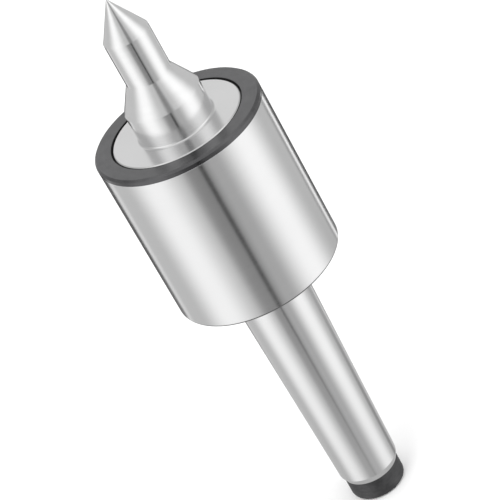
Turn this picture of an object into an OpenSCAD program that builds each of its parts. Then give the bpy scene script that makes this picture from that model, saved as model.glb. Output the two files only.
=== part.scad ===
// Live center with a Morse taper MT2 shank.
// The axis is +Z with the point up. The origin is the centre of the taper's gauge plane.

/* [Shank] */
// Diameter of the Morse taper at its gauge plane
gauge_d = 17.78; // [17.7:0.01:17.86]
// Length over which the taper's diameter shrinks by one
taper_rate = 20.02; // [19.8:0.01:20.2]
// Distance from the gauge plane to the housing's rear face
gauge_offset = 5; // [4:0.5:6]
// Length of the shank behind the housing's rear face
shank_len = 68.4; // [66:0.1:69]
// Length of the plug's head at the end of the shank
plug_head_len = 5.5; // [5:0.1:7]
// Diameter of the plug's head
plug_d = 13.7; // [13.2:0.1:14]

/* [Housing] */
// Outer diameter of the housing
housing_d = 40; // [39.6:0.1:44]
// Length of the housing from its rear face to its front face
housing_len = 40.6; // [40:0.1:44]
// Chamfer on the housing's outer edges
housing_edge = 0.3; // [0.1:0.05:0.8]

/* [Front cap] */
// Thickness of the cap's flange in front of the housing
cap_face_t = 1.45; // [1.3:0.05:3]
// Chamfer on the cap's outer edge
cap_edge = 0.5; // [0.2:0.05:0.8]
// Diameter of the hole that the spindle's flange turns in
cap_bore_d = 31.7; // [31.5:0.1:32]
// Outer diameter of the cap's threaded skirt
cap_thread_d = 37; // [36.6:0.1:37.4]
// Length of the skirt inside the housing
cap_skirt_len = 6; // [5.8:0.1:6.5]

/* [Spindle] */
// Included angle of the point and of the shoulder cone
point_angle = 60; // [58:1:75]
// Diameter of the slim neck behind the point
neck_d = 10.7; // [9:0.1:12]
// Length of the neck
neck_len = 10.7; // [8:0.1:14]
// Diameter of the nose
nose_d = 18; // [16:0.1:20]
// Length of the nose in front of the flange
nose_len = 7.15; // [5:0.05:10]
// Diameter of the flange disc that turns inside the cap
flange_d = 30.7; // [30:0.1:31]
// Diameter of the main journal
journal_d = 15; // [14.8:0.1:15]
// Diameter of the rear journal
tail_d = 8; // [7.6:0.1:8]

/* [Front bearing] */
// Outer diameter of the deep-groove bearing
front_od = 35; // [34.8:0.1:35]
// Width of the deep-groove bearing
front_w = 11; // [10.5:0.1:11]
// Number of balls in the deep-groove bearing
front_balls = 8; // [6:1:9]
// Diameter of those balls
front_ball_d = 5.95; // [5.5:0.05:6]

/* [Thrust bearing] */
// Outer diameter of the thrust bearing
thrust_od = 28; // [27.5:0.1:28]
// Height of the thrust bearing
thrust_h = 9; // [8.8:0.1:9.2]
// Number of balls in the thrust bearing
thrust_ball_count = 11; // [8:1:12]
// Diameter of those balls
thrust_ball_d = 4.76; // [4.5:0.02:4.8]

/* [Needle bearing] */
// Outer diameter of the drawn cup
needle_od = 12; // [12:0.1:12.2]
// Length of the drawn cup
needle_len = 12; // [10:0.5:12]
// Number of needles
needle_count = 12; // [8:1:13]

/* [Hidden] */
$fn = 96;

// Gaps on the radius: a ring on its seat, a part that turns beside a fixed one, a seal's lip,
// a ball in its groove or pocket, and a needle between its two tracks
seat_gap = 0.01;
turn_gap = 0.3;
lip_gap = 0.04;
ball_gap = 0.04;
roller_gap = 0.02;
// How far a cutting tool runs past the end of a blind step
runout = 0.5;

// Heights along the axis, from the shank's end to the point
z_rear = gauge_offset;
z_shank_end = z_rear - shank_len;
z_ground_end = z_shank_end + plug_head_len;
z_front = z_rear + housing_len;
z_cap_face = z_front + cap_face_t;
flange_recess = 0.05;
z_flange = z_cap_face - flange_recess;
z_nose = z_flange + nose_len;
z_neck = z_nose + (nose_d - neck_d) / 2 / tan(point_angle / 2);
z_point = z_neck + neck_len;
point_flat_d = 0.2;
z_tip = z_point + (neck_d - point_flat_d) / 2 / tan(point_angle / 2);

// The bearing stack hangs below the cap's skirt
z_front_bearing = z_front - cap_skirt_len;
spacer_t = 2;
z_spacer = z_front_bearing - front_w;
z_thrust = z_spacer - spacer_t;
spring_t = 0.9;
z_spring = z_thrust - thrust_h;
z_floor = z_spring - spring_t;
needle_step = 1;
z_needle_top = z_rear + needle_step;
z_needle_bottom = z_needle_top - needle_len;

// Shank
shank_chamfer_len = 1.6;
plug_pilot_d = 9;
plug_pilot_len = 12;
plug_edge = 1;
knockout_d = 6;
centre_hole_d = 5;
centre_hole_angle = 60;
function taper_r(z) = (gauge_d + z / taper_rate) / 2;

// Spindle inside the housing
flange_t = 2.1;
flange_edge = 0.3;
nose_fillet = 0.5;
seal_land_d = 24;
abutment_d = 20.8;
abutment_t = 0.5;
land_cone_len = 0.8;
waist_d = 13;
waist_clearance_d = 17;
end_gap = 0.8;
tail_clearance_d = tail_d + 1;
tail_edge = 0.5;
tail_centre_d = 3.2;
z_waist = z_floor - runout;
z_tail = z_needle_top + end_gap;
z_tail_end = z_needle_bottom - end_gap;

// Cap and seals
seal_seat_d = 32.4;
cap_lip_t = 2.65;
o_ring_d = 1.3;
o_ring_groove_w = 1.8;
o_ring_groove_d = 34.3;
z_o_ring = z_front - 1.4;
seal_floor_gap = 0.4;
seal_wall = 1;
seal_web = 0.9;
seal_lip_w = 0.4;
seal_lip_len = 1.4;

// Front bearing
front_pitch_r = (journal_d + front_od) / 4;
front_land = 1.75;
front_inner_land_d = 2 * (front_pitch_r - front_land);
front_outer_land_d = 2 * (front_pitch_r + front_land);
z_front_balls = z_spacer + front_w / 2;
shield_t = 0.35;
shield_inset = 0.45;
shield_gap = 0.2;
shield_seat_d = front_outer_land_d + 0.9;
z_rear_shield = z_spacer + shield_inset;
z_front_shield = z_front_bearing - shield_inset - shield_t;
front_cage_t = 1.2;
front_cage_base = 0.9;

// Thrust bearing
thrust_pitch_r = (journal_d + thrust_od) / 4;
thrust_washer_t = 2.9;
thrust_cage_t = 1.9;
thrust_cage_w = thrust_ball_d + 0.7;
thrust_housing_bore_d = journal_d + 1;
z_thrust_balls = z_spring + thrust_h / 2;
spring_sheet = 0.6;
spring_in_d = journal_d + 2;
spring_out_d = thrust_od - 1;

// Needle bearing
needle_wall = 0.5;
needle_outer_r = needle_od / 2 - needle_wall;
needle_pitch_r = (tail_d / 2 + needle_outer_r) / 2;
needle_r = (needle_outer_r - tail_d / 2) / 2 - roller_gap;
needle_lip = 0.5;
needle_room = needle_len - 2 * needle_lip;
needle_roller_len = needle_room - 1;
needle_cage_len = needle_room - 0.2;
needle_cage_t = 0.7;
pocket_gap = 0.03;
z_needle = (z_needle_bottom + z_needle_top) / 2;

// A ring with a rectangular section
module ring(inner_d, outer_d, z, height) {
    translate([0, 0, z]) rotate_extrude()
        translate([inner_d / 2, 0]) square([(outer_d - inner_d) / 2, height]);
}

// A round bar or a round hole between two heights
module bar(d, z_low, z_high) {
    translate([0, 0, z_low]) cylinder(d = d, h = z_high - z_low);
}

// The section of a shaft end: a disc with a rounded lower edge
module rounded_foot(r, height, edge) {
    square([r - edge, height]);
    translate([0, edge]) square([r, height - edge]);
    translate([r - edge, edge]) circle(edge);
}

// A ring of copies about the axis
module around(count) {
    for (i = [0 : count - 1]) rotate([0, 0, i * 360 / count]) children();
}

// A torus about the axis that cuts a ball groove or makes an O-ring
module torus(pitch_r, section_r, z) {
    translate([0, 0, z]) rotate_extrude() translate([pitch_r, 0]) circle(section_r);
}

// A 60 degree centre hole with its pilot drilling, open downwards
module centre_hole(d, z) {
    pilot_d = d * 0.4;
    cone_depth = (d - pilot_d) / 2 / tan(centre_hole_angle / 2);
    translate([0, 0, z]) cylinder(d1 = d, d2 = pilot_d, h = cone_depth);
    bar(pilot_d, z, z + cone_depth + pilot_d);
}

module housing() {
    color("silver") difference() {
        rotate_extrude() polygon([
            [0, z_ground_end],
            [plug_d / 2, z_ground_end],
            [taper_r(z_ground_end + shank_chamfer_len), z_ground_end + shank_chamfer_len],
            [taper_r(z_rear), z_rear],
            [housing_d / 2 - housing_edge, z_rear],
            [housing_d / 2, z_rear + housing_edge],
            [housing_d / 2, z_front - housing_edge / 2],
            [housing_d / 2 - housing_edge / 2, z_front],
            [0, z_front]
        ]);
        bar(cap_thread_d, z_front_bearing - runout, z_front + runout);
        bar(front_od, z_spacer, z_front);
        bar(thrust_od, z_floor, z_front);
        bar(waist_clearance_d, z_needle_top, z_front);
        bar(needle_od, z_needle_bottom, z_front);
        bar(tail_clearance_d, z_tail_end - end_gap, z_front);
        bar(knockout_d, z_ground_end, z_front);
        bar(plug_pilot_d, z_ground_end - runout, z_ground_end + plug_pilot_len + runout);
    }
}

module shank_end_plug() {
    color("dimgray") difference() {
        union() {
            translate([0, 0, z_shank_end]) rotate_extrude()
                rounded_foot(plug_d / 2, plug_head_len, plug_edge);
            bar(plug_pilot_d - 2 * seat_gap, z_ground_end, z_ground_end + plug_pilot_len);
        }
        centre_hole(centre_hole_d, z_shank_end);
    }
}

module front_cap() {
    color([0.16, 0.16, 0.17]) difference() {
        rotate_extrude() polygon([
            [cap_bore_d / 2, z_cap_face],
            [housing_d / 2 - cap_edge, z_cap_face],
            [housing_d / 2, z_cap_face - cap_edge],
            [housing_d / 2, z_front],
            [cap_thread_d / 2 - seat_gap, z_front],
            [cap_thread_d / 2 - seat_gap, z_front_bearing + cap_edge],
            [cap_thread_d / 2 - cap_edge, z_front_bearing],
            [seal_seat_d / 2, z_front_bearing],
            [seal_seat_d / 2, z_cap_face - cap_lip_t],
            [cap_bore_d / 2, z_cap_face - cap_lip_t]
        ]);
        ring(o_ring_groove_d, cap_thread_d + 1, z_o_ring - o_ring_groove_w / 2, o_ring_groove_w);
    }
}

module cap_o_ring() {
    color([0.1, 0.1, 0.1])
        torus((cap_thread_d - o_ring_d) / 2 - seat_gap, o_ring_d / 2, z_o_ring);
}

module spindle_seal() {
    seal_top = z_cap_face - cap_lip_t - seat_gap;
    seal_bottom = z_front_bearing + seal_floor_gap;
    seal_r = seal_seat_d / 2 - seat_gap;
    lip_r = seal_land_d / 2 + lip_gap;
    color([0.1, 0.1, 0.1]) rotate_extrude() polygon([
        [seal_r, seal_bottom],
        [seal_r, seal_top],
        [lip_r + seal_lip_w, seal_top],
        [lip_r, seal_top - seal_lip_len],
        [lip_r + 2 * seal_lip_w, seal_top - seal_web],
        [seal_r - seal_wall, seal_top - seal_web],
        [seal_r - seal_wall, seal_bottom]
    ]);
}

// The section of a fillet in the corner between a face at height z and a wall at radius r
module corner_fillet(r, z, size) {
    translate([r, z]) difference() {
        translate([-size, 0]) square([2 * size, size]);
        translate([size, size]) circle(size);
    }
}

module spindle_section() {
    z_land = z_flange - flange_t;
    polygon([
        [0, z_tail_end],
        [tail_d / 2 - tail_edge, z_tail_end],
        [tail_d / 2, z_tail_end + tail_edge],
        [tail_d / 2, z_tail],
        [waist_d / 2 - tail_edge, z_tail],
        [waist_d / 2, z_tail + tail_edge],
        [waist_d / 2, z_waist - tail_edge],
        [journal_d / 2, z_waist],
        [journal_d / 2, z_front_bearing],
        [abutment_d / 2, z_front_bearing],
        [abutment_d / 2, z_front_bearing + abutment_t],
        [seal_land_d / 2, z_front_bearing + abutment_t + land_cone_len],
        [seal_land_d / 2, z_land],
        [flange_d / 2, z_land],
        [flange_d / 2, z_flange - flange_edge],
        [flange_d / 2 - flange_edge, z_flange],
        [nose_d / 2, z_flange],
        [nose_d / 2, z_nose],
        [neck_d / 2, z_neck],
        [neck_d / 2, z_point],
        [point_flat_d / 2, z_tip],
        [0, z_tip]
    ]);
    corner_fillet(nose_d / 2, z_flange, nose_fillet);
}

module spindle() {
    color("lightgray") difference() {
        rotate_extrude() spindle_section();
        centre_hole(tail_centre_d, z_tail_end);
    }
}

module front_bearing_outer_ring() {
    color("gainsboro") difference() {
        ring(front_outer_land_d, front_od - 2 * seat_gap, z_spacer, front_w);
        torus(front_pitch_r, front_ball_d / 2 + ball_gap, z_front_balls);
        // The shields snap into these two grooves
        for (z = [z_rear_shield, z_front_shield])
            bar(shield_seat_d, z - seat_gap, z + shield_t + seat_gap);
    }
}

module front_bearing_inner_ring() {
    color("gainsboro") difference() {
        ring(journal_d + 2 * seat_gap, front_inner_land_d, z_spacer, front_w);
        torus(front_pitch_r, front_ball_d / 2 + ball_gap, z_front_balls);
    }
}

module front_bearing_balls() {
    color("white") around(front_balls)
        translate([front_pitch_r, 0, z_front_balls]) sphere(d = front_ball_d);
}

// A snap cage: its pockets are open towards the front by less than a ball's diameter
module front_bearing_cage() {
    cage_bottom = z_front_balls - front_ball_d / 2 - front_cage_base;
    cage_top = z_front_balls + front_ball_d / 4;
    color("saddlebrown") difference() {
        ring(2 * front_pitch_r - front_cage_t, 2 * front_pitch_r + front_cage_t,
             cage_bottom, cage_top - cage_bottom);
        around(front_balls) translate([front_pitch_r, 0, z_front_balls])
            sphere(d = front_ball_d + 2 * ball_gap);
    }
}

// A bearing shield: a flat sheet ring that clears the inner ring
module shield(z) {
    color("darkgray")
        ring(front_inner_land_d + 2 * shield_gap, shield_seat_d - 2 * seat_gap, z, shield_t);
}

module front_bearing_front_shield() { shield(z_front_shield); }

module front_bearing_rear_shield() { shield(z_rear_shield); }

module bearing_spacer() {
    color("gray") ring(journal_d + 2 * seat_gap, abutment_d, z_thrust, spacer_t);
}

// One washer of the thrust bearing, with its ball groove
module thrust_washer(inner_d, outer_d, z) {
    color("gainsboro") difference() {
        ring(inner_d, outer_d, z, thrust_washer_t);
        torus(thrust_pitch_r, thrust_ball_d / 2 + ball_gap, z_thrust_balls);
    }
}

module thrust_shaft_washer() {
    thrust_washer(journal_d + 2 * seat_gap, thrust_od - 2 * turn_gap, z_thrust - thrust_washer_t);
}

module thrust_housing_washer() {
    thrust_washer(thrust_housing_bore_d, thrust_od - 2 * seat_gap, z_spring);
}

module thrust_balls() {
    color("white") around(thrust_ball_count)
        translate([thrust_pitch_r, 0, z_thrust_balls]) sphere(d = thrust_ball_d);
}

module thrust_cage() {
    color("darkkhaki") difference() {
        ring(2 * thrust_pitch_r - thrust_cage_w, 2 * thrust_pitch_r + thrust_cage_w,
             z_thrust_balls - thrust_cage_t / 2, thrust_cage_t);
        around(thrust_ball_count) translate([thrust_pitch_r, 0, z_spring])
            cylinder(d = thrust_ball_d + 2 * ball_gap, h = thrust_h);
    }
}

// A disc spring: a shallow cone of spring steel under the fixed washer
module preload_spring() {
    color("slategray") rotate_extrude() polygon([
        [spring_in_d / 2, z_spring - spring_sheet],
        [spring_in_d / 2, z_spring],
        [spring_out_d / 2, z_floor + spring_sheet],
        [spring_out_d / 2, z_floor]
    ]);
}

module needle_bearing_shell() {
    color("lightsteelblue") difference() {
        bar(needle_od - 2 * seat_gap, z_needle_bottom, z_needle_top);
        bar(2 * needle_outer_r, z_needle_bottom + needle_lip, z_needle_top - needle_lip);
        bar(tail_d + 2 * turn_gap, z_needle_bottom - runout, z_needle_top + runout);
    }
}

module needle_rollers() {
    color("white") around(needle_count) translate([needle_pitch_r, 0, z_needle])
        cylinder(r = needle_r, h = needle_roller_len, center = true);
}

module needle_cage() {
    pocket = [needle_r * 4, 2 * (needle_r + pocket_gap), needle_roller_len + 2 * pocket_gap];
    color("darkkhaki") difference() {
        ring(2 * needle_pitch_r - needle_cage_t, 2 * needle_pitch_r + needle_cage_t,
             z_needle - needle_cage_len / 2, needle_cage_len);
        around(needle_count) translate([needle_pitch_r, 0, z_needle]) cube(pocket, center = true);
    }
}

housing();
shank_end_plug();
front_cap();
cap_o_ring();
spindle_seal();
spindle();
front_bearing_outer_ring();
front_bearing_inner_ring();
front_bearing_balls();
front_bearing_cage();
front_bearing_front_shield();
front_bearing_rear_shield();
bearing_spacer();
thrust_shaft_washer();
thrust_balls();
thrust_cage();
thrust_housing_washer();
preload_spring();
needle_bearing_shell();
needle_rollers();
needle_cage();
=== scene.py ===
"""A live center with a Morse taper MT2 shank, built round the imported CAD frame.

The four parts that show are turned again here, with finer rings and small rounded edges. The
bearings and seals inside keep their CAD shapes. Every part gets a procedural material. Lengths
are in metres unless a name ends in _MM, and angles are in degrees until they are used.
"""

import math
from collections import namedtuple

import bpy
from mathutils import Matrix, Vector


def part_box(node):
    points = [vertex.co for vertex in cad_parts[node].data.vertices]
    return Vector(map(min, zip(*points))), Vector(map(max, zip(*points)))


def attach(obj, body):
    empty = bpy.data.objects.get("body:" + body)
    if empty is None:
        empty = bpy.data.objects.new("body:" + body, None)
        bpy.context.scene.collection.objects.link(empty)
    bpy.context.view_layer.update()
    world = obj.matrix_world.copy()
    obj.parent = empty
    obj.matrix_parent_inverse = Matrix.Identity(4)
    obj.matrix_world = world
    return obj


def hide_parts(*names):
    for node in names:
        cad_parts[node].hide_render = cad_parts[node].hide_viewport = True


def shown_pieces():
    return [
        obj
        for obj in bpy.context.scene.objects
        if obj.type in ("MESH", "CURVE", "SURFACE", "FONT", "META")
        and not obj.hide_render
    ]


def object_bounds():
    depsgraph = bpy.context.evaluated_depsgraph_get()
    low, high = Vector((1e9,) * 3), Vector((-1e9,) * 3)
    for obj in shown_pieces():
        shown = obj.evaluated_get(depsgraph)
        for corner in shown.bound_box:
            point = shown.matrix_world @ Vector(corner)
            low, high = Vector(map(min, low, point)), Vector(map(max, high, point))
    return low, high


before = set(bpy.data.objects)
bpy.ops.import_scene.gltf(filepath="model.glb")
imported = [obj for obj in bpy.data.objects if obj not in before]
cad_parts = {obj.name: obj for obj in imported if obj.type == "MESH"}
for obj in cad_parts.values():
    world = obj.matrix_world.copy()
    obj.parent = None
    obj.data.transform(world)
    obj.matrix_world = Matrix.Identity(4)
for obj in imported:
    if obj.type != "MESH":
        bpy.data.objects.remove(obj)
cad_low, cad_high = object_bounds()

MM = 0.001

# Turned parts: sides of a ring, degrees between the rings of a rounded edge and the fewest steps
# in one, the rounding of a corner that names none, the most of a side that one rounding may take,
# and the radius below which a point is on the axis
SEGMENTS = 256
ARC_STEP = 12.0
ARC_STEPS_MIN = 3
EDGE_MM = 0.06
EDGE_SHARE = 0.45
AXIS_R_MM = 1e-6

# Shank and housing
GAUGE_R_MM = 8.89
TAPER_RATE = 20.02
REAR_FACE_MM = 5.0
SHANK_CHAMFER_MM = 1.6
SHANK_SHOULDER_MM = 0.6
REAR_EDGE_MM = 0.5
FRONT_EDGE_MM = 0.04
BEARING_WALL_GAP_MM = 0.01
THREAD_RUNOUT_MM = 0.5
WAIST_BORE_R_MM = 8.5
TAIL_BORE_R_MM = 4.5
TAIL_END_ROOM_MM = 0.8
KNOCKOUT_R_MM = 3.0
PLUG_PILOT_R_MM = 4.5
PLUG_BORE_DEPTH_MM = 12.5
PLUG_EDGE_MM = 1.0

# Cap
CAP_EDGE_MM = 0.5
CAP_EDGE_ROUND_MM = 0.15
CAP_BORE_R_MM = 15.85
CAP_SEAT_R_MM = 16.2
CAP_LIP_MM = 2.65
CAP_SKIRT_R_MM = 18.49
O_RING_GROOVE_R_MM = 17.15
O_RING_GROOVE_MM = 1.8

# Spindle
POINT_HALF_ANGLE = 30.0
POINT_FLAT_R_MM = 0.1
NECK_R_MM = 5.35
NECK_MM = 10.7
NOSE_R_MM = 9.0
NOSE_FILLET_MM = 0.5
FLANGE_BELOW_CAP_MM = 0.05
FLANGE_MM = 2.1
FLANGE_EDGE_MM = 0.2
FLANGE_EDGE_ROUND_MM = 0.1
CONE_ROUND_MM = 0.08
TIP_ROUND_MM = 0.03
SEAL_LAND_R_MM = 12.0
LAND_CONE_MM = 0.8
ABUTMENT_R_MM = 10.4
ABUTMENT_MM = 0.5
JOURNAL_R_MM = 7.5
WAIST_R_MM = 6.5
TAIL_R_MM = 4.0
TAIL_EDGE_MM = 0.5

# Where second materials start and end: the disc's painted shade, which reaches a little way up the nose,
# and the painted shade in the gap
DISC_SHADE_UP_NOSE_MM = 0.3
DISC_RIM_MM = 0.05
GAP_TOP_MM = 0.1

# Centre holes: the mouth's radius, with a pilot hole two fifths as wide
PLUG_HOLE_R_MM = 2.5
TAIL_HOLE_R_MM = 1.6
PILOT_SHARE = 0.4

# Camera
CAMERA_ELEVATION = 30.27
CAMERA_ROLL = -29.54
CAMERA_DISTANCE = 0.5386
CAMERA_LENS_MM = 172.4
CAMERA_SENSOR_MM = 36.0
CAMERA_CLIP = (0.01, 20.0)
CAMERA_AIM = Vector((0.00036, 0.0, 0.00998))


def extent(node):
    """A turned node's lowest height, highest height and outer radius, in millimetres."""
    low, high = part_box(node)
    return low.z / MM, high.z / MM, max(high.x, high.y) / MM


HOUSING_LOW, HOUSING_HIGH, HOUSING_R = extent("housing")
PLUG_LOW, PLUG_HIGH, PLUG_R = extent("shank_end_plug")
CAP_LOW, CAP_HIGH, CAP_R = extent("front_cap")
SPINDLE_LOW, SPINDLE_HIGH, FLANGE_R = extent("spindle")
BEARING_LOW, _, BEARING_R = extent("front_bearing_outer_ring")
_, _, THRUST_R = extent("thrust_housing_washer")
SPRING_LOW, _, _ = extent("preload_spring")
NEEDLE_LOW, NEEDLE_HIGH, NEEDLE_R = extent("needle_bearing_shell")
O_RING_LOW, O_RING_HIGH, _ = extent("cap_o_ring")


# Turned meshes


def arc(before, corner, after, rounding):
    """The (point, outward normal) pairs that round off one corner of a section."""
    to_corner, from_corner = corner - before, after - corner
    first, second = to_corner.normalized(), from_corner.normalized()
    turn = math.atan2(first.x * second.y - first.y * second.x, first.dot(second))
    reach = rounding * math.tan(abs(turn) / 2)
    reach = min(reach, EDGE_SHARE * to_corner.length, EDGE_SHARE * from_corner.length)
    radius = reach / math.tan(abs(turn) / 2)
    side = math.copysign(1, turn)
    normal = Vector((first.y, -first.x))
    centre = corner - first * reach - normal * radius * side
    steps = max(ARC_STEPS_MIN, math.ceil(math.degrees(abs(turn)) / ARC_STEP))
    pairs = []
    for i in range(steps + 1):
        out = Matrix.Rotation(turn * i / steps, 2) @ normal
        pairs.append((centre + out * radius * side, out))
    return pairs


def section(corners, closed):
    """The (point, normal) pairs of a section given as (radius, height[, rounding]) corners.

    The corners go round with the solid on their left. An open section starts and ends on the axis.
    """
    points = [Vector(c[:2]) for c in corners]
    roundings = [c[2] if len(c) > 2 else EDGE_MM for c in corners]
    count = len(points)
    pairs = []
    for i in range(count):
        if not closed and i in (0, count - 1):
            neighbour = points[1] if i == 0 else points[-2]
            along = (neighbour - points[i]) * (1 if i == 0 else -1)
            pairs.append((points[i], Vector((along.y, -along.x)).normalized()))
        else:
            pairs += arc(points[i - 1], points[i], points[(i + 1) % count], roundings[i])
    return pairs


def turned(name, corners, body, node, closed=True):
    """A piece turned about the frame's axis, which stands for a CAD node and rides on its body."""
    pairs = section(corners, closed)
    verts, normals, rings = [], [], []
    for point, normal in pairs:
        on_axis = point.x < AXIS_R_MM
        ring = []
        for k in range(1 if on_axis else SEGMENTS):
            angle = 2 * math.pi * k / SEGMENTS
            c, s = math.cos(angle), math.sin(angle)
            ring.append(len(verts))
            verts.append((point.x * c * MM, point.x * s * MM, point.y * MM))
            normals.append((normal.x * c, normal.x * s, normal.y))
        rings.append(ring)
    faces = []
    for i in range(len(rings) if closed else len(rings) - 1):
        here, there = rings[i], rings[(i + 1) % len(rings)]
        for k in range(SEGMENTS):
            n = (k + 1) % SEGMENTS
            if len(here) == 1:
                faces.append((here[0], there[n], there[k]))
            elif len(there) == 1:
                faces.append((here[k], here[n], there[0]))
            else:
                faces.append((here[k], here[n], there[n], there[k]))
    mesh = bpy.data.meshes.new(name)
    mesh.from_pydata(verts, [], faces)
    mesh.polygons.foreach_set("use_smooth", [True] * len(faces))
    mesh.normals_split_custom_set_from_vertices(normals)
    mesh.update()
    piece = bpy.data.objects.new(name, mesh)
    bpy.context.scene.collection.objects.link(piece)
    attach(piece, body)
    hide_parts(node)
    return piece


def taper_r(height):
    """Radius of the Morse taper at a height, in millimetres."""
    return GAUGE_R_MM + height / TAPER_RATE / 2


def centre_hole(mouth_r, end):
    """Corners of a 60 degree centre hole and its pilot in a part's lower end, from the axis out."""
    pilot_r = mouth_r * PILOT_SHARE
    cone = (mouth_r - pilot_r) / math.tan(math.radians(POINT_HALF_ANGLE))
    return [
        (0, end + cone + 2 * pilot_r),
        (pilot_r, end + cone + 2 * pilot_r),
        (pilot_r, end + cone),
        (mouth_r, end),
    ]


def make_housing():
    """Cylindrical body and taper shank in one piece, with the bearing bores."""
    bearing_bore = BEARING_R + BEARING_WALL_GAP_MM
    thrust_bore = THRUST_R + BEARING_WALL_GAP_MM
    needle_bore = NEEDLE_R + BEARING_WALL_GAP_MM
    thread_bore = CAP_SKIRT_R_MM + BEARING_WALL_GAP_MM
    thread_low = CAP_LOW - THREAD_RUNOUT_MM
    ground_low = HOUSING_LOW + SHANK_CHAMFER_MM
    tail_low = NEEDLE_LOW - 2 * TAIL_END_ROOM_MM
    plug_top = HOUSING_LOW + PLUG_BORE_DEPTH_MM
    corners = [
        (PLUG_PILOT_R_MM, HOUSING_LOW),
        (PLUG_R, HOUSING_LOW),
        (taper_r(ground_low), ground_low, SHANK_SHOULDER_MM),
        (taper_r(REAR_FACE_MM), REAR_FACE_MM),
        (HOUSING_R, REAR_FACE_MM, REAR_EDGE_MM),
        (HOUSING_R, HOUSING_HIGH, FRONT_EDGE_MM),
        (thread_bore, HOUSING_HIGH),
        (thread_bore, thread_low),
        (bearing_bore, thread_low),
        (bearing_bore, BEARING_LOW),
        (thrust_bore, BEARING_LOW),
        (thrust_bore, SPRING_LOW),
        (WAIST_BORE_R_MM, SPRING_LOW),
        (WAIST_BORE_R_MM, NEEDLE_HIGH),
        (needle_bore, NEEDLE_HIGH),
        (needle_bore, NEEDLE_LOW),
        (TAIL_BORE_R_MM, NEEDLE_LOW),
        (TAIL_BORE_R_MM, tail_low),
        (KNOCKOUT_R_MM, tail_low),
        (KNOCKOUT_R_MM, plug_top),
        (PLUG_PILOT_R_MM, plug_top),
    ]
    return turned("housing_ground", corners, "housing", "housing")


def make_plug():
    """Stub at the thin end of the shank, with its centre hole and the pilot that holds it."""
    pilot_r = PLUG_PILOT_R_MM - BEARING_WALL_GAP_MM
    corners = centre_hole(PLUG_HOLE_R_MM, PLUG_LOW) + [
        (PLUG_R, PLUG_LOW, PLUG_EDGE_MM),
        (PLUG_R, HOUSING_LOW),
        (pilot_r, HOUSING_LOW),
        (pilot_r, PLUG_HIGH),
        (0, PLUG_HIGH),
    ]
    return turned(
        "shank_end_stub", corners, "housing", "shank_end_plug", closed=False
    )


def make_cap():
    """Ring nut in front of the body, with its skirt, O-ring groove and seal lip."""
    o_ring_height = (O_RING_LOW + O_RING_HIGH) / 2
    groove_low = o_ring_height - O_RING_GROOVE_MM / 2
    groove_high = o_ring_height + O_RING_GROOVE_MM / 2
    corners = [
        (CAP_SEAT_R_MM, CAP_LOW),
        (CAP_SKIRT_R_MM - CAP_EDGE_MM, CAP_LOW),
        (CAP_SKIRT_R_MM, CAP_LOW + CAP_EDGE_MM),
        (CAP_SKIRT_R_MM, groove_low),
        (O_RING_GROOVE_R_MM, groove_low),
        (O_RING_GROOVE_R_MM, groove_high),
        (CAP_SKIRT_R_MM, groove_high),
        (CAP_SKIRT_R_MM, HOUSING_HIGH),
        (CAP_R, HOUSING_HIGH),
        (CAP_R, CAP_HIGH - CAP_EDGE_MM, CAP_EDGE_ROUND_MM),
        (CAP_R - CAP_EDGE_MM, CAP_HIGH, CAP_EDGE_ROUND_MM),
        (CAP_BORE_R_MM, CAP_HIGH),
        (CAP_BORE_R_MM, CAP_HIGH - CAP_LIP_MM),
        (CAP_SEAT_R_MM, CAP_HIGH - CAP_LIP_MM),
    ]
    return turned("cap_ring", corners, "housing", "front_cap")


def make_spindle():
    """Point, neck, shoulder, nose and flange, and the journals that run in the bearings."""
    flange_high = CAP_HIGH - FLANGE_BELOW_CAP_MM
    flange_low = flange_high - FLANGE_MM
    slope = math.tan(math.radians(POINT_HALF_ANGLE))
    point_low = SPINDLE_HIGH - (NECK_R_MM - POINT_FLAT_R_MM) / slope
    neck_low = point_low - NECK_MM
    nose_high = neck_low - (NOSE_R_MM - NECK_R_MM) / slope
    waist_high = SPRING_LOW - THREAD_RUNOUT_MM
    waist_low = NEEDLE_HIGH + TAIL_END_ROOM_MM
    cone_low = CAP_LOW + ABUTMENT_MM
    corners = centre_hole(TAIL_HOLE_R_MM, SPINDLE_LOW) + [
        (TAIL_R_MM - TAIL_EDGE_MM, SPINDLE_LOW),
        (TAIL_R_MM, SPINDLE_LOW + TAIL_EDGE_MM),
        (TAIL_R_MM, waist_low),
        (WAIST_R_MM - TAIL_EDGE_MM, waist_low),
        (WAIST_R_MM, waist_low + TAIL_EDGE_MM),
        (WAIST_R_MM, waist_high - TAIL_EDGE_MM),
        (JOURNAL_R_MM, waist_high),
        (JOURNAL_R_MM, CAP_LOW),
        (ABUTMENT_R_MM, CAP_LOW),
        (ABUTMENT_R_MM, cone_low),
        (SEAL_LAND_R_MM, cone_low + LAND_CONE_MM),
        (SEAL_LAND_R_MM, flange_low),
        (FLANGE_R, flange_low),
        (FLANGE_R, flange_high - FLANGE_EDGE_MM, FLANGE_EDGE_ROUND_MM),
        (FLANGE_R - FLANGE_EDGE_MM, flange_high, FLANGE_EDGE_ROUND_MM),
        (NOSE_R_MM, flange_high, NOSE_FILLET_MM),
        (NOSE_R_MM, nose_high, CONE_ROUND_MM),
        (NECK_R_MM, neck_low, CONE_ROUND_MM),
        (NECK_R_MM, point_low, CONE_ROUND_MM),
        (POINT_FLAT_R_MM, SPINDLE_HIGH, TIP_ROUND_MM),
        (0, SPINDLE_HIGH),
    ]
    return turned(
        "spindle_point", corners, "spindle", "spindle", closed=False
    )


# Materials

# Turning lines: the smallest radius that they are worked out for, and how much a face's radius
# counts beside a wall's height. The anisotropic quarter turn stretches highlights along the axis.
LINES_R_MIN = 0.00001
FACE_LEAN = 1.3
QUARTER_TURN = 0.25


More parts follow.
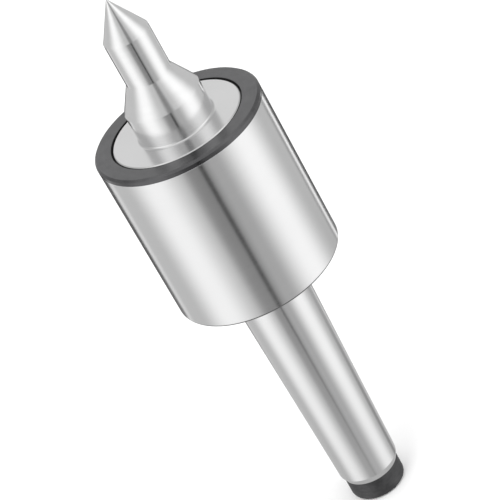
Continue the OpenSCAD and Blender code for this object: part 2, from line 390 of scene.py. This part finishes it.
class Tree:
    """Short ways to add and join the nodes of a material or of the world."""

    def __init__(self, node_tree):
        self.nodes, self.links = node_tree.nodes, node_tree.links

    def add(self, kind, inputs=None, **settings):
        """A new node. inputs gives each socket a value or another node's output."""
        node = self.nodes.new("ShaderNode" + kind)
        for key, value in settings.items():
            setattr(node, key, value)
        for key, value in (inputs or {}).items():
            self.join(value, node.inputs[key])
        return node

    def join(self, value, socket):
        """Links an output to a socket, or sets the socket to a plain value."""
        if isinstance(value, bpy.types.NodeSocket):
            self.links.new(value, socket)
        else:
            socket.default_value = value

    def shade(self, **values):
        """Sets the Principled shader's sockets, whose names are given with _ for a space."""
        for key, value in values.items():
            self.join(value, self.nodes["Principled BSDF"].inputs[key.replace("_", " ")])

    def math(self, operation, first, second=0.0):
        """The result of a Math node."""
        return self.add("Math", {0: first, 1: second}, operation=operation).outputs[0]

    def place(self):
        """The object's own coordinates, in metres."""
        return self.add("TexCoord").outputs["Object"]

    def noise(self, vector, size, detail=2.0, roughness=0.5):
        """Noise with features of that size, in metres, from 0 to 1."""
        node = self.add(
            "TexNoise",
            {"Vector": vector, "Scale": 1 / size, "Detail": detail, "Roughness": roughness},
        )
        return node.outputs["Fac"]

    def between(self, factor, low, high, start=0.3, end=0.7):
        """factor from start to end, mapped to low to high."""
        node = self.add(
            "MapRange",
            {"Value": factor, "From Min": start, "From Max": end, "To Min": low, "To Max": high},
        )
        return node.outputs["Result"]

    def fade(self, factor, start, end):
        """0 up to start and 1 from end on, with a smooth rise between them."""
        values = {"Value": factor, "From Min": start, "From Max": end}
        node = self.add("MapRange", values, interpolation_type="SMOOTHSTEP")
        return node.outputs["Result"]

    def tint(self, factor, first, second, start=0.3, end=0.7):
        """A colour that goes from first to second as factor goes from start to end."""
        node = self.add("ValToRGB", {"Fac": factor})
        ramp = node.color_ramp
        ramp.elements[0].position, ramp.elements[1].position = start, end
        ramp.elements[0].color, ramp.elements[1].color = (*first, 1), (*second, 1)
        return node.outputs["Color"]

    def turned_place(self, round_size, line_size):
        """Coordinates for lines that run round the axis, on walls and on faces alike."""
        xyz = self.add("SeparateXYZ", {"Vector": self.place()}).outputs
        squares = self.math(
            "ADD", self.math("MULTIPLY", xyz[0], xyz[0]), self.math("MULTIPLY", xyz[1], xyz[1])
        )
        radius = self.math("MAXIMUM", self.math("SQRT", squares), LINES_R_MIN)
        along = self.math("ADD", xyz[2], self.math("MULTIPLY", radius, FACE_LEAN))
        parts = {
            "X": self.math("MULTIPLY", self.math("DIVIDE", xyz[0], radius), 1 / round_size),
            "Y": self.math("MULTIPLY", self.math("DIVIDE", xyz[1], radius), 1 / round_size),
            "Z": self.math("MULTIPLY", along, 1 / line_size),
        }
        return self.add("CombineXYZ", parts).outputs[0]

    def turned_grain(self):
        """The direction of the marks that turning and grinding leave: round the axis."""
        return self.add("Tangent", direction_type="RADIAL", axis="Z").outputs[0]

    def bump(self, height, distance, strength):
        """A normal for a surface that rises by distance, in metres, where height is 1."""
        inputs = {"Height": height, "Distance": distance, "Strength": strength}
        return self.add("Bump", inputs).outputs["Normal"]

    def blend(self, first, second, share):
        """first and second added up, with first given that share and second the rest."""
        return self.math(
            "ADD", self.math("MULTIPLY", first, share), self.math("MULTIPLY", second, 1 - share)
        )


def new_material(name):
    """A material and its Tree."""
    material = bpy.data.materials.new(name)
    material.use_nodes = True
    return material, Tree(material.node_tree)


def ground_metal(name, dark, light, roughness, grain, line_size=0.00022):
    """Steel ground or turned about the axis: fine lines, and a haze that varies a little."""
    material, tree = new_material(name)
    turned_at = tree.turned_place(round_size=0.6, line_size=line_size)
    lines = tree.noise(turned_at, size=1.0, detail=3.0, roughness=0.6)
    haze = tree.noise(tree.place(), size=0.012)
    tree.shade(
        Base_Color=tree.tint(tree.blend(lines, haze, share=0.6), dark, light),
        Metallic=1.0,
        Roughness=tree.between(lines, low=roughness - 0.015, high=roughness + 0.02),
        Anisotropic=grain,
        Anisotropic_Rotation=QUARTER_TURN,
        Tangent=tree.turned_grain(),
        Normal=tree.bump(lines, distance=0.0000004, strength=0.4),
    )
    return material


def black_oxide(name, dark, light, metallic, roughness):
    """Blackened steel: dark, slightly patchy, with finer turning lines."""
    material, tree = new_material(name)
    lines = tree.noise(tree.turned_place(round_size=0.5, line_size=0.0003), size=1.0)
    patches = tree.noise(tree.place(), size=0.0022, detail=4.0, roughness=0.65)
    tone = tree.blend(lines, patches, share=0.35)
    tree.shade(
        Base_Color=tree.tint(tone, dark, light),
        Metallic=metallic,
        Roughness=tree.between(patches, low=roughness - 0.04, high=roughness + 0.06),
        Anisotropic=0.75,
        Anisotropic_Rotation=QUARTER_TURN,
        Tangent=tree.turned_grain(),
        Specular_IOR_Level=0.6,
        Normal=tree.bump(tone, distance=0.000004, strength=0.4),
    )
    return material


def polished_metal(name, colour, roughness, size=0.004):
    """Hardened bearing steel: bright, with a faint cloudiness."""
    material, tree = new_material(name)
    clouds = tree.noise(tree.place(), size, detail=3.0)
    scratches = tree.noise(tree.turned_place(round_size=0.8, line_size=0.00008), size=1.0)
    darker = tuple(0.9 * channel for channel in colour)
    tree.shade(
        Base_Color=tree.tint(clouds, darker, colour),
        Metallic=1.0,
        Roughness=tree.between(scratches, low=roughness, high=roughness + 0.08),
    )
    return material


def moulded(name, dark, light, roughness, size):
    """Rubber or nylon: a soft uneven skin with a fine grain."""
    material, tree = new_material(name)
    grain = tree.noise(tree.place(), size, detail=3.0, roughness=0.6)
    patches = tree.noise(tree.place(), size=14 * size)
    tree.shade(
        Base_Color=tree.tint(patches, dark, light),
        Roughness=tree.between(grain, low=roughness - 0.08, high=roughness + 0.08),
        Normal=tree.bump(grain, distance=0.06 * size, strength=0.5),
    )
    return material


def dress(piece, material):
    """Gives the whole of a piece one material."""
    piece.data.materials.clear()
    piece.data.materials.append(material)


def dress_where(piece, material, inside):
    """Adds a material for the faces that inside(radius, height), in millimetres, is true for."""
    piece.data.materials.append(material)
    for face in piece.data.polygons:
        place = face.center / MM
        if inside(math.hypot(place.x, place.y), place.z):
            face.material_index = len(piece.data.materials) - 1


# Studio

# What the metal mirrors: soft boxes, whose level is above zero, and black flags, which take light
# away. Bearings are in degrees from the camera, and positive ones are on its right. Heights are
# those of the mirrored direction, from -1, straight down, to 1, straight up. The panels were
# placed to give the steel the bands that it has in the photograph.
Panel = namedtuple("Panel", "bearing half_width soft_edge level low high")
PANELS = [
    # Soft boxes on the left and on the right
    Panel(bearing=-66, half_width=4, soft_edge=42, level=0.54, low=-0.68, high=0.8),
    Panel(bearing=66, half_width=4, soft_edge=42, level=0.58, low=-0.68, high=0.8),
    # Dark gap round the camera, then the narrower gap above it
    Panel(bearing=-8, half_width=8, soft_edge=14, level=-0.2, low=-0.6, high=0.2),
    Panel(bearing=6, half_width=14, soft_edge=26, level=-0.15, low=-0.6, high=0.2),
    Panel(bearing=0, half_width=1, soft_edge=4, level=-0.22, low=-0.6, high=0.2),
    Panel(bearing=2, half_width=3, soft_edge=13, level=-0.35, low=0.25, high=0.8),
    # Strips and flags that outline the body, then a low flag for the shank's right side
    Panel(bearing=-141, half_width=4, soft_edge=4, level=0.2, low=-0.53, high=-0.3),
    Panel(bearing=144, half_width=3, soft_edge=3, level=0.6, low=-0.53, high=-0.3),
    Panel(bearing=136, half_width=2, soft_edge=4, level=-0.3, low=-0.53, high=-0.3),
    Panel(bearing=128, half_width=3, soft_edge=14, level=-0.3, low=-0.68, high=-0.58),
    # Flag behind, with a soft box above it
    Panel(bearing=180, half_width=30, soft_edge=4, level=-0.5, low=-0.53, high=-0.3),
    Panel(bearing=180, half_width=12, soft_edge=25, level=0.3, low=0.25, high=0.8),
]
# The height over which a panel, the pale sweep below and the zenith fade in, and the levels
# between, below and above the panels. The room's level is what every other ray sees.
PANEL_FADE = 0.08
FILL_LEVEL = 0.6
SWEEP_HIGH = -0.6
SWEEP_LEVEL = 0.52
ZENITH_LOW = 0.8
ZENITH_LEVEL = 1.0
ROOM_LEVEL = 1.05

# Floor, which lies a hair under the object
FLOOR_RADIUS = 3.0
FLOOR_SIDES = 64
FLOOR_GAP = 0.00005


def make_world():
    """Soft white light, white behind the object, and the panels for the metal to mirror."""
    world = bpy.data.worlds.new("studio")
    bpy.context.scene.world = world
    world.use_nodes = True
    world.node_tree.nodes.clear()
    tree = Tree(world.node_tree)
    xyz = tree.add("SeparateXYZ", {0: tree.add("TexCoord").outputs["Generated"]}).outputs
    bearing = tree.math("ARCTAN2", xyz[0], tree.math("MULTIPLY", xyz[1], -1.0))

    def share(panel):
        """How much of a panel a direction meets: 1 inside it, 0 beyond its soft edge."""
        away = tree.math("SUBTRACT", bearing, math.radians(panel.bearing))
        away = tree.add("Math", {0: away, 1: math.pi, 2: -math.pi}, operation="WRAP").outputs[0]
        inner = math.radians(panel.half_width)
        outer = math.radians(panel.half_width + panel.soft_edge)
        across = tree.fade(tree.math("ABSOLUTE", away), outer, inner)
        foot = tree.fade(xyz[2], panel.low - PANEL_FADE / 2, panel.low + PANEL_FADE / 2)
        head = tree.fade(xyz[2], panel.high + PANEL_FADE, panel.high)
        return tree.math("MULTIPLY", across, tree.math("MULTIPLY", foot, head))

    def background(level):
        """White light of that level from everywhere."""
        return tree.add("Background", {"Color": (1, 1, 1, 1), "Strength": level})

    sweep = tree.fade(xyz[2], SWEEP_HIGH + PANEL_FADE / 2, SWEEP_HIGH - PANEL_FADE / 2)
    zenith = tree.fade(xyz[2], ZENITH_LOW, ZENITH_LOW + PANEL_FADE)
    level = tree.math("ADD", FILL_LEVEL, tree.math("MULTIPLY", sweep, SWEEP_LEVEL - FILL_LEVEL))
    level = tree.math("ADD", level, tree.math("MULTIPLY", zenith, ZENITH_LEVEL - FILL_LEVEL))
    for panel in PANELS:
        level = tree.math("ADD", level, tree.math("MULTIPLY", share(panel), panel.level))
    studio = background(tree.math("MAXIMUM", level, 0.0))
    mirrored = tree.add("LightPath").outputs["Is Glossy Ray"]
    seen = tree.add(
        "MixShader", {0: mirrored, 1: background(ROOM_LEVEL).outputs[0], 2: studio.outputs[0]}
    )
    tree.add("OutputWorld", {"Surface": seen.outputs[0]})


def make_floor():
    """Pale floor under the shank's end. The metal mirrors the studio and not the floor."""
    rim = [2 * math.pi * k / FLOOR_SIDES for k in range(FLOOR_SIDES)]
    height = cad_low.z - FLOOR_GAP
    verts = [(FLOOR_RADIUS * math.cos(a), FLOOR_RADIUS * math.sin(a), height) for a in rim]
    mesh = bpy.data.meshes.new("floor")
    mesh.from_pydata(verts, [], [list(range(FLOOR_SIDES))])
    floor = bpy.data.objects.new("floor", mesh)
    bpy.context.scene.collection.objects.link(floor)
    floor.visible_glossy = False
    material, tree = new_material("floor_paper")
    paper = tree.noise(tree.place(), size=0.05, detail=3.0)
    tree.shade(
        Base_Color=tree.tint(paper, first=(0.93, 0.93, 0.93), second=(0.95, 0.95, 0.95)),
        Roughness=0.9,
        Specular_IOR_Level=0.1,
    )
    dress(floor, material)


def make_light(name, place, size, watts):
    """A soft area light that points at the object and isn't mirrored in it."""
    light = bpy.data.lights.new(name, "AREA")
    light.shape, light.size, light.energy = "DISK", size, watts
    lamp = bpy.data.objects.new(name, light)
    bpy.context.scene.collection.objects.link(lamp)
    lamp.location = place
    lamp.rotation_mode = "QUATERNION"
    lamp.rotation_quaternion = (-Vector(place)).to_track_quat("-Z", "Y")
    lamp.visible_glossy = False


def make_camera():
    """The camera, which looks down at the object and is rolled to lean it to the left."""
    data = bpy.data.cameras.new("camera")
    data.sensor_width = CAMERA_SENSOR_MM
    data.lens = CAMERA_LENS_MM
    data.clip_start, data.clip_end = CAMERA_CLIP
    camera = bpy.data.objects.new("camera", data)
    bpy.context.scene.collection.objects.link(camera)
    tilt = Matrix.Rotation(math.radians(90 - CAMERA_ELEVATION), 4, "X")
    roll = Matrix.Rotation(math.radians(CAMERA_ROLL), 4, "Z")
    turn = tilt @ roll
    back = turn @ Vector((0, 0, CAMERA_DISTANCE))
    camera.matrix_world = Matrix.Translation(CAMERA_AIM + back) @ turn
    bpy.context.scene.camera = camera


def make_housing_parts():
    """Turns the three outer parts that stand still and gives them their materials, with a painted dark
    line of shade on the body's rear edge.
    """
    ground = ground_metal(
        "ground_steel", dark=(0.77, 0.77, 0.772), light=(0.81, 0.81, 0.811), roughness=0.17, grain=0.7
    )
    # Painted shade: a dark copy of the ground steel, which paints a thin dark line on the body's rear
    # edge
    edge = ground_metal(
        "rear_edge_painted_shade", dark=(0.2, 0.2, 0.202), light=(0.26, 0.26, 0.262), roughness=0.3, grain=0.5
    )
    cap_black = black_oxide(
        "black_oxide", dark=(0.1, 0.1, 0.103), light=(0.14, 0.14, 0.143), metallic=0.95, roughness=0.2
    )
    stub_black = black_oxide(
        "black_oxide_stub", dark=(0.05, 0.05, 0.052), light=(0.1, 0.1, 0.102), metallic=0.7, roughness=0.5
    )
    housing = make_housing()
    dress(housing, ground)
    # The dark steel, a painted line of shade, goes on the rounded rear edge
    edge_high = REAR_FACE_MM + REAR_EDGE_MM
    dress_where(housing, edge, lambda r, z: r > HOUSING_R - REAR_EDGE_MM and z < edge_high)
    dress(make_plug(), stub_black)
    cap = make_cap()
    dress(cap, cap_black)
    return cap


def make_spindle_part():
    """Turns the spindle and gives it its materials: the disc's steel is a little rougher, and darker than
    the nose's as painted shade.
    """
    point_steel = ground_metal(
        "spindle_steel", dark=(0.82, 0.82, 0.822), light=(0.87, 0.87, 0.871), roughness=0.17, grain=0.7
    )
    # Painted shade: the disc gets a darker copy of the spindle's steel, with a little more roughness and
    # grain
    disc_steel_and_shade = ground_metal(
        "turned_steel_painted_shade", dark=(0.67, 0.67, 0.672), light=(0.71, 0.71, 0.711), roughness=0.19, grain=0.8
    )
    spindle = make_spindle()
    dress(spindle, point_steel)
    face_high = CAP_HIGH - FLANGE_BELOW_CAP_MM
    foot_high = face_high + DISC_SHADE_UP_NOSE_MM
    dress_where(spindle, disc_steel_and_shade, lambda r, z: r > NOSE_R_MM and z < foot_high)
    return spindle


def paint_gap_shade(cap, spindle):
    """Painted shade: near-black walls for the narrow gap between the cap and the disc."""
    # Painted shade in the gap, with the soft near-black skin of a moulded material
    gap_shade = moulded(
        "gap_painted_shade", dark=(0.006, 0.006, 0.006), light=(0.012, 0.012, 0.012), roughness=0.8,
        size=0.0003,
    )
    wall_high = CAP_HIGH - GAP_TOP_MM
    dress_where(cap, gap_shade, lambda r, z: r < CAP_SEAT_R_MM and z < wall_high)
    rim_high = CAP_HIGH - FLANGE_BELOW_CAP_MM - FLANGE_EDGE_MM
    dress_where(spindle, gap_shade, lambda r, z: r > FLANGE_R - DISC_RIM_MM and z < rim_high)


def dress_inside():
    """Gives the bearings and seals, which keep their CAD meshes, their materials."""
    bearing = polished_metal("bearing_steel", (0.82, 0.82, 0.82), roughness=0.12)
    sheet = polished_metal("sheet_steel", (0.6, 0.6, 0.58), roughness=0.3, size=0.002)
    spring = polished_metal("spring_steel", (0.28, 0.31, 0.38), roughness=0.28)
    rubber = moulded(
        "rubber", dark=(0.014, 0.014, 0.014), light=(0.03, 0.03, 0.03), roughness=0.6, size=0.00025
    )
    polymer = moulded(
        "cage_polymer", dark=(0.17, 0.1, 0.05), light=(0.24, 0.15, 0.08), roughness=0.45, size=0.0003
    )
    names_by_material = {
        bearing: [
            "front_bearing_outer_ring", "front_bearing_inner_ring", "front_bearing_balls",
            "thrust_shaft_washer", "thrust_balls", "thrust_housing_washer",
            "needle_bearing_shell", "needle_rollers",
        ],
        sheet: [
            "front_bearing_front_shield", "front_bearing_rear_shield", "bearing_spacer",
            "thrust_cage", "needle_cage",
        ],
        spring: ["preload_spring"],
        rubber: ["cap_o_ring", "spindle_seal"],
        polymer: ["front_bearing_cage"],
    }
    for material, names in names_by_material.items():
        for name in names:
            dress(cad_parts[name], material)


def make_part():
    """Makes and dresses every piece. Only the spindle shows in reflections."""
    cap = make_housing_parts()
    spindle = make_spindle_part()
    paint_gap_shade(cap, spindle)
    dress_inside()
    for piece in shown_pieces():
        piece.visible_glossy = piece == spindle


make_part()
make_floor()
make_light("key_light", place=(-0.5, -0.6, 1.0), size=0.6, watts=4.0)
make_light("fill_light", place=(0.7, -0.2, 0.7), size=0.6, watts=2.0)
make_world()
make_camera()
bpy.context.scene.view_settings.view_transform = "Standard"
